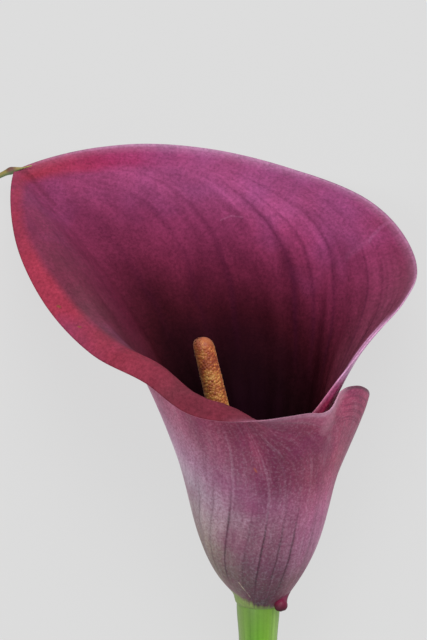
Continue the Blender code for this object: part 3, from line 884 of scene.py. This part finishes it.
# %% Skin of the knob
def knob_skin():
    """Smooth fleshy skin: soft gloss, rose where it leaves the sheet and wine red at its end."""
    material, tree, down = new_material("knob_skin", "down")
    place = add(tree, "Math", [grain(tree, 1.2, 3.0), 0.15, down], operation="MULTIPLY_ADD")
    colour = add(tree, "ValToRGB", [place], stops=[
        (0.20, "#84586a"), (0.42, "#7c3550"), (0.66, "#7a2040"), (0.84, "#56182c"), (1.0, "#3c1420")])
    return complete(material, {
        "Base Color": colour, "Roughness": 0.45, "Specular IOR Level": 0.25})


fleshy_skin = knob_skin()

# %% [markdown]
# ## Shape of the knob
#
# It is a short tube whose radius grows along its route and closes in a round end.

# %% Make the knob
KNOB_SIDES, KNOB_RINGS = 32, 60
# (step, degrees round the axis, distance from it, height, radius)
KNOB_ROUTE = [(0, 8, 8.3, 6.4, 0.4), (1, 18, 7.6, 4.7, 0.7), (2, 31, 6.95, 3.1, 1.05),
              (3, 40, 6.9, 1.9, 1.45), (4, 46, 7.25, 1.0, 1.7), (5, 49.5, 7.3, 0.2, 1.3),
              (6, 50.5, 7.3, -0.3, 0.6)]
knob_at = smooth(KNOB_ROUTE, np.linspace(0, len(KNOB_ROUTE) - 1, KNOB_RINGS))
knob_path = lay_down(round_axis(knob_at[:, 0], knob_at[:, 1], knob_at[:, 2]))
knob = make_tube("spathe_knob", tube_points(knob_path, knob_at[:, 3], KNOB_SIDES),
                 {"down": np.linspace(0, 1, KNOB_RINGS)[:, None]}, [fleshy_skin])

# %% [markdown]
# ## The spadix
#
# The club in the middle carries hundreds of tiny flowers without petals. They sit as tightly as
# they can, each turned from the one before by the golden angle, which is how plants pack them. So
# each floret is modelled as a small domed bead with a cleft across it, and only their places are
# worked out: equal areas of the club's skin from its top down.

# %% Sizes of the spadix
SPADIX_TOP, SPADIX_RADIUS, SPADIX_LEAN, SPADIX_BEND = 67.75, 2.56, 0.234, 1.6
SPADIX_FOOT = 4.3
SPADIX_TAPER = 0.011             # it is this much thicker for each mm down
FLORET_WIDTH = 0.72
GOLDEN_ANGLE = math.pi * (3 - math.sqrt(5))


def spadix_centre(height):
    """It starts along the axis and soon leans to the left."""
    gone = np.maximum(height - PEG_HEIGHT, 0)
    leaning = -SPADIX_LEAN * (gone - SPADIX_BEND * (1 - np.exp(-gone / SPADIX_BEND)))
    return np.stack([leaning, 0 * height, height], axis=-1)


def spadix_radius(height):
    into_dome = np.clip((height - SPADIX_TOP + SPADIX_RADIUS) / SPADIX_RADIUS, 0, 1)
    return (SPADIX_RADIUS + SPADIX_TAPER * (SPADIX_TOP - height)) * np.sqrt(1 - into_dome**2)


print("spadix leans to", spadix_centre(np.array([SPADIX_TOP])).round(1))

# %% [markdown]
# ## Floret skin
#
# Ripe anthers are orange and mealy with pollen, so they hardly shine and have a faint warm fuzz at their
# edges, which is sheen. They ripen in patches. The club's right side is painted lighter and its left darker,
# as painted light and shade, and the foot of each bead is painted darker, as painted shade between the
# beads.

# %% Floret material
def floret_skin():
    """Anthers dusted with pollen: matt, orange to brown, each a little unlike its neighbours."""
    material, tree, chance, dome, up, lit_side = new_material("spadix_florets", "chance", "dome", "up", "lit_side")
    # ripe and unripe patches a few florets wide, redder towards the top
    ripe = add(tree, "Math", [chance, 0.30, grain(tree, 2.4, 3.0)], operation="MULTIPLY_ADD")
    colour = add(tree, "ValToRGB", [ripe],
                 stops=[(0.44, "#8c3c24"), (0.56, "#ac5a30"), (0.66, "#c07038"), (0.84, "#d69a50")])
    colour = lay_over(tree, colour, ("#b8522e", up, 0.86, 1.0, 0.5), ("#a05c2c", up, 0.80, 0.45, 0.5))
    # painted shade: each bead is a little darker at its foot, between the beads
    colour = vary(tree, colour, dome, 0.95, 1.0, low=0.0, high=0.7)
    # painted light and shade: lighter on the right of the club, darker on the left
    colour = vary(tree, colour, lit_side, 0.50, 1.26, low=-0.9, high=0.9)
    return complete(material, {
        "Base Color": colour, "Roughness": 0.5, "Sheen Weight": 0.25, "Sheen Roughness": 0.4,
        "Sheen Tint": linear("#ffe0c0")})


pollen_skin = floret_skin()

# %% [markdown]
# ## Places for the florets
#
# The club's skin is added up from the top down, over its round end too, and shared out equally.
# Each floret then gets a height, and the golden angle gives its turn.

# %% Share out the skin
ASTRAY = 0.22                    # none sits quite in its place, by this part of its width
STEEPEST = 20.0                  # mm of radius to a mm of height, which has no limit at the very top
levels = np.linspace(SPADIX_TOP, SPADIX_FOOT, 4000)
level_radius = spadix_radius(levels)
steepness = np.minimum(np.gradient(level_radius, levels)**2, STEEPEST**2)
half_girth = math.pi * level_radius * np.sqrt(1 + steepness)
skin_area = np.concatenate([[0], np.cumsum(-np.diff(levels) * (half_girth[:-1] + half_girth[1:]))])
floret_area = FLORET_WIDTH**2 * math.sqrt(3) / 2
floret_count = int(skin_area[-1] / floret_area)
floret = np.arange(floret_count)
rng = np.random.default_rng(5)
astray = rng.normal(0, ASTRAY, (2, floret_count)) * FLORET_WIDTH
floret_height = np.interp((floret + 0.5) * floret_area, skin_area, levels) + astray[0]
floret_height = np.clip(floret_height, SPADIX_FOOT, SPADIX_TOP - 0.001)
turned_astray = astray[1] / np.maximum(spadix_radius(floret_height), 0.8)      # from mm to an angle
floret_turn = floret * GOLDEN_ANGLE + turned_astray
chance = rng.random(floret_count)
print(floret_count, "florets of", FLORET_WIDTH, "mm")

# %% [markdown]
# ## One bead for each floret
#
# A bead is three rings and a crown. Instancing one bead would be lighter, but then all would be
# alike, and each real one differs a little in size, in how far it stands out and in its cleft.

# %% Build the florets
BEAD_SIDES = 8
BEAD_RINGS = [(1.0, -0.16, 0.0), (0.80, 0.14, 0.6), (0.42, 0.28, 0.95)]   # how wide, how high, dome
CROWN_UP = 0.48
HALF_WIDTH, STAND = (0.56, 0.06), (0.32, 0.12)        # of its width: the least, and chance on top
CLEFT = 0.10                     # of its radius
SUNK = 0.06                      # mm below the club's skin
STEEPEST_SKIN = 30.0             # as above, but for the way that a bead stands


def place_on_spadix(height, turn, out):
    """A point on the spadix at a height, turned round its axis, standing out of its skin."""
    radius = spadix_radius(height)
    step = 0.01
    rising = spadix_radius(np.minimum(height + step, SPADIX_TOP)) - spadix_radius(height - step)
    slope = np.clip(rising / (2 * step), -STEEPEST_SKIN, STEEPEST_SKIN)
    spoke = np.stack([np.cos(turn), np.sin(turn), 0 * turn], axis=-1)
    normal = (spoke - np.array([0, 0, 1.0]) * slope[..., None]) / np.sqrt(1 + slope**2)[..., None]
    return spadix_centre(height) + spoke * radius[..., None] + normal * out, normal, spoke


at, normal, spoke = place_on_spadix(floret_height, floret_turn, -SUNK)
sideways = np.cross(np.array([0, 0, 1.0]), spoke)
upwards = np.cross(normal, sideways)
size, stand = [FLORET_WIDTH * (least + more * rng.random(floret_count))
               for least, more in (HALF_WIDTH, STAND)]
cleft_turn = rng.random(floret_count) * math.pi
bead_angle = 2 * math.pi * np.arange(BEAD_SIDES) / BEAD_SIDES
cleft = 1 - CLEFT * np.cos(2 * (bead_angle[None, :] - cleft_turn[:, None]))
spread = np.cos(bead_angle)[:, None] * sideways[:, None] + np.sin(bead_angle)[:, None] * upwards[:, None]
rings = [at[:, None] + ((size * out)[:, None] * cleft)[..., None] * spread
         + (stand * up)[:, None, None] * normal[:, None] for out, up, _ in BEAD_RINGS]
crown = at[:, None] + (stand * CROWN_UP)[:, None, None] * normal[:, None]
bead_points = np.concatenate(rings + [crown], axis=1)
per_bead = bead_points.shape[1]
ring = np.arange(per_bead - 1).reshape(-1, BEAD_SIDES)
after = np.roll(ring, -1, axis=1)
bead_faces = np.stack([ring[:-1], after[:-1], after[1:], ring[1:]], axis=-1).reshape(-1, 4).tolist()
bead_faces += np.stack([ring[-1], after[-1], 0 * ring[-1] + per_bead - 1], axis=-1).tolist()
print(per_bead, "points and", len(bead_faces), "faces to a bead")

# %% [markdown]
# ## The club
#
# The beads stand on a plain core, so that no gap shows between them. All of it is one mesh.

# %% Make the spadix
CORE_RINGS, CORE_SIDES = 160, 48
CORE_INSIDE, CORE_BELOW, CORE_CHANCE = 0.07, 0.10, 0.4
points = lay_down(bead_points.reshape(-1, 3))
faces = [[k * per_bead + i for i in face] for k in range(floret_count) for face in bead_faces]
core_high = (SPADIX_TOP - CORE_BELOW - SPADIX_FOOT) * np.sin(np.linspace(0, math.pi / 2, CORE_RINGS))
core_height = SPADIX_FOOT + core_high
core_radii = np.maximum(spadix_radius(core_height) - CORE_INSIDE, 0.05)
core = tube_points(lay_down(spadix_centre(core_height)), core_radii, CORE_SIDES).reshape(-1, 3)
faces += tube_faces(CORE_RINGS, CORE_SIDES, first_point=len(points))
bead_dome = np.append(np.repeat([dome for _, _, dome in BEAD_RINGS], BEAD_SIDES), 1.0)
numbers = {
    "chance": np.append(np.repeat(chance, per_bead), np.full(len(core), CORE_CHANCE)),
    "dome": np.append(np.tile(bead_dome, floret_count), np.zeros(len(core))),
    "up": np.append(np.repeat(floret_height, per_bead), np.repeat(core_height, CORE_SIDES)) / SPADIX_TOP,
    "lit_side": np.append(np.repeat(spoke[:, 0], per_bead), np.zeros(len(core))),
}
spadix = make_piece("spadix_florets", np.vstack([points, core]), faces, numbers, [pollen_skin])
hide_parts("spadix")

# %% [markdown]
# ## Skin of the stem
#
# The flower stalk is a smooth, juicy rod with a waxy skin. The strands under the skin show as long fine
# lines of lighter and darker green. They are a noise stretched along the stem, which the bump reads too.
# Round the stem the green is painted lighter and darker: greyer at the left edge as a painted sheen, and a
# painted highlight band just right of its top. The purple of the spathe runs a little way down the middle of
# the front.

# %% Stem material
STEM_GIRTH = 2 * math.pi * 5.0   # mm
STRAND_WIDTH = 1.3


def stem_skin():
    """Waxy green skin: a broad soft gloss over long fine strands."""
    material, tree, around, down = new_material("stem_skin", "around", "down")
    # painted light and shade round the stem: greyer at the left edge as painted sheen, a painted highlight
    # band just right of the top, darker below
    colour = add(tree, "ValToRGB", [around], stops=[
        (0.0, "#849c5a"), (0.10, "#7a9c48"), (0.18, "#62962a"), (0.25, "#66a224"), (0.32, "#78ae30"),
        (0.39, "#98c45c"), (0.47, "#88b24a"), (0.75, "#6f9540"), (1.0, "#849c5a")])

    across = add(tree, "Math", [around, STEM_GIRTH / STRAND_WIDTH], operation="MULTIPLY")
    strand_at = add(tree, "CombineXYZ", [across, down])
    strands = add(tree, "TexNoise", {"Vector": strand_at, "Scale": 1.0, "Detail": 3.0, "Roughness": 0.6},
                  noise_dimensions="2D")
    colour = vary(tree, colour, strands, 0.74, 1.20)

    # purple pigment below the spathe
    front = add(tree, "ValToRGB", [around],
                stops=[(0.06, 0.0), (0.17, 1.0), (0.30, 1.0), (0.38, 0.0)])
    near_top = add(tree, "Math", [strands, -0.10, down], operation="MULTIPLY_ADD")
    tinged = add(tree, "MapRange", [near_top, 0.03, -0.05, 0.0, 0.45])
    colour = lay_over(tree, colour, ("#6c7c46", (tinged, front), 1.0))
    colour = vary(tree, colour, grain(tree, 0.3), 0.93, 1.06)
    bump = add(tree, "Bump", {"Height": strands, "Strength": 0.3, "Distance": 0.0001})
    return complete(material, {
        "Base Color": colour, "Normal": bump, "Roughness": 0.42, "Specular IOR Level": 0.4})


waxy_skin = stem_skin()

# %% [markdown]
# ## The cut end
#
# A cut across a calla's stalk shows wet, pale green flesh with the ends of its vessels scattered in
# it as darker dots, and the green skin as a thin ring. It is a flat face, so it gets flat shading.
# The vessels are about 0.5 mm across and 1.3 mm apart: cells of a Voronoi pattern, dark in the middle.

# %% Cut flesh
VESSEL_SPACING = 1.3


def cut_flesh():
    """Wet plant flesh: pale, with a low roughness that lets it glisten."""
    material, tree = new_material("stem_cut_flesh")
    place = add(tree, "TexCoord", out="Object")
    from_vessel = add(tree, "TexVoronoi", {"Vector": place, "Scale": 1 / (VESSEL_SPACING * MM)})
    colour = add(tree, "ValToRGB", [from_vessel],
                 stops=[(0.10, "#7f9c56"), (0.24, "#9fb873"), (0.5, "#b7cb90"), (0.9, "#c2d39e")])
    colour = vary(tree, colour, grain(tree, 0.4), 0.92, 1.06)
    return complete(material, {"Base Color": colour, "Roughness": 0.25})


wet_flesh = cut_flesh()

# %% [markdown]
# ## Shape of the stem
#
# It widens a little at the top, where the spathe is joined to it, and sinks in one long curve until
# it lies on the surface. It is swept along the same path as the solid, with more rings and sides.

# %% Make the stem
CLEARANCE = 0.3
STEM_LENGTH, STEM_REST = 108.0, 14.0
STEM_RADIUS, STEM_TOP_RADIUS, STEM_GROWTH = 4.8, 5.4, 0.5
INTO_FOOT = 0.5                  # it starts this far up inside the foot of the spathe
CAD_STEM_SIDES = 24
STEM_SIDES, STEM_RINGS = 96, 260
down = STEM_LENGTH * np.linspace(0, 1, STEM_RINGS)
down = down - (CLEARANCE + INTO_FOOT) * np.linspace(1, 0, STEM_RINGS)
stem_radii = STEM_RADIUS + (STEM_TOP_RADIUS - STEM_RADIUS) * fade(down, 10, 0)
stem_radii = stem_radii + STEM_GROWTH * fade(down, 0, STEM_LENGTH)
stem_path = lay_down(round_axis(0 * down, 0 * down, -CLEARANCE - down))
stem_path[:, 0] -= STEM_ASIDE
resting = stem_radii[-1] * math.cos(math.pi / CAD_STEM_SIDES)
reach = STEM_LENGTH - STEM_REST
t = np.clip(down / reach, 0, 1)
sinking = (t**3 - 2 * t**2 + t) * -reach * math.sin(LEAN_BACK)
top_z = FOOT[2] - CLEARANCE * math.sin(LEAN_BACK)
stem_path[:, 2] = top_z + (resting - top_z) * fade(t, 0, 1) + sinking
stem_points = tube_points(stem_path, stem_radii, STEM_SIDES)
stem_points[..., 2] = np.maximum(stem_points[..., 2], 0)
stem_around = np.linspace(0, 1, STEM_SIDES, endpoint=False)
stem = make_tube("stem_skin", stem_points, {"around": stem_around, "down": down[:, None] / STEM_LENGTH},
                 [waxy_skin, wet_flesh])
cut = stem.data.polygons[-1]
cut.material_index = 1
cut.use_smooth = False
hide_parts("stem")

# %% [markdown]
# ## The camera
#
# The flower is looked at from straight above, from about 60 cm, with a lens long enough that the rim
# and the stem keep their proportions. The view is a little longer than the bloom, so the stem runs
# out of it. The camera needs no turn, as an unturned one looks down.

# %% Camera above the bloom
CAMERA_ABOVE = 620.0             # above the foot, in mm
CAMERA_TALL = 160.0              # height of the view at that distance, in mm
CAMERA_FROM_FOOT = (-11.625, 70.75, CAMERA_ABOVE)

camera_data = bpy.data.cameras.new("camera")
camera_data.sensor_width = 36.0
camera_data.lens = camera_data.sensor_width * CAMERA_ABOVE / CAMERA_TALL
camera_data.clip_start = 0.01
camera = bpy.data.objects.new("camera", camera_data)
camera.location = (FOOT + CAMERA_FROM_FOOT) * MM
bpy.context.scene.collection.objects.link(camera)
bpy.context.scene.camera = camera
print("lens", round(camera_data.lens, 1), "mm")

# %% [markdown]
# ## A light table
#
# A flower on opal glass that is lit from below casts hardly any shadow, and its edges stay clean.
# The glass is one large face. It gives most of its light itself, and its own colour is a mid grey,
# so that shadows on it stay faint.

# %% Opal glass to lie on
FLOOR_HALF = 1.5                 # metres


def opal_glass():
    """Matt white glass over a lamp: no reflections, an even glow."""
    material, tree = new_material("light_table_glass")
    return complete(material, {
        "Base Color": linear("#505050"), "Roughness": 0.9, "Specular IOR Level": 0.0,
        "Emission Color": linear("#ffffff"), "Emission Strength": 0.632})


corners = [(-1, -1), (1, -1), (1, 1), (-1, 1)]
floor_mesh = bpy.data.meshes.new("floor")
floor_mesh.from_pydata([(x * FLOOR_HALF, y * FLOOR_HALF, 0) for x, y in corners], [], [(0, 1, 2, 3)])
floor_mesh.materials.append(opal_glass())
floor = bpy.data.objects.new("floor", floor_mesh)
bpy.context.scene.collection.objects.link(floor)
print("floor", 2 * FLOOR_HALF, "m wide")

# %% [markdown]
# ## Studio light
#
# The main softbox stands beyond the tip, so that light falls into the open bloom and the inside of
# the front wall stays in the dark. A weaker one fills in from the left of the stem, and a plain
# white surround lifts what neither reaches.

# %% Softboxes and surround
FLOWER_MIDDLE = Vector((0, 0.05, 0.02))


def soft_light(name, place, size, watts):
    """A square softbox at a place in metres, turned to the flower."""
    data = bpy.data.lights.new(name, "AREA")
    data.size = size
    data.energy = watts
    light = bpy.data.objects.new(name, data)
    light.location = place
    light.rotation_euler = (FLOWER_MIDDLE - Vector(place)).to_track_quat("-Z", "Y").to_euler()
    bpy.context.scene.collection.objects.link(light)
    print(name, watts, "W")


soft_light("key_softbox", (0.10, 0.85, 1.20), 0.8, 13)
soft_light("fill_softbox", (-0.7, -0.3, 1.2), 0.9, 5)
world = bpy.data.worlds.new("studio")
world.use_nodes = True
fill(world.node_tree, world.node_tree.nodes["Background"], {"Color": (1, 1, 1, 1), "Strength": 0.45})
bpy.context.scene.world = world
bpy.context.scene.view_settings.view_transform = "Standard"
